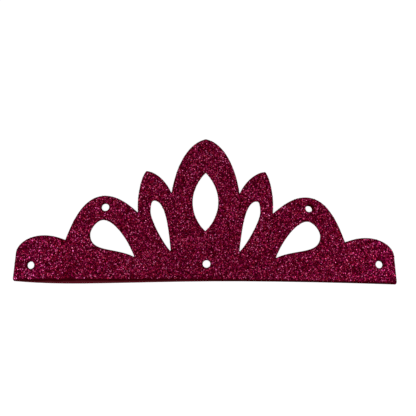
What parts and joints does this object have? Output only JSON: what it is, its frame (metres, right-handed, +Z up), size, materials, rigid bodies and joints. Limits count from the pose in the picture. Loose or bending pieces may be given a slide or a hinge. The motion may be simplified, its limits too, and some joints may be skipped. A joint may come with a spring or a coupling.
{
  "type": "paper crown",
  "caption": "Flat glittered party crown cut as one sheet, with rounded end lobes, arches, pointed leaves, drop and eye cut-outs and punched fixing holes.",
  "frame": {"origin": "middle of the underside of the crown's box, on the surface that the crown lies on", "axes": "+X along the crown's width to the right, +Y from the bottom edge towards the middle point, +Z up through the glittered face"},
  "size_m": [0.29, 0.11, 0.002],
  "materials": {
    "glitter_sheet": "glitter-coated face, plain cut edge and underside"
  },
  "bodies": {
    "root": {"crown": "glitter_sheet"}
  },
  "joints": []
}
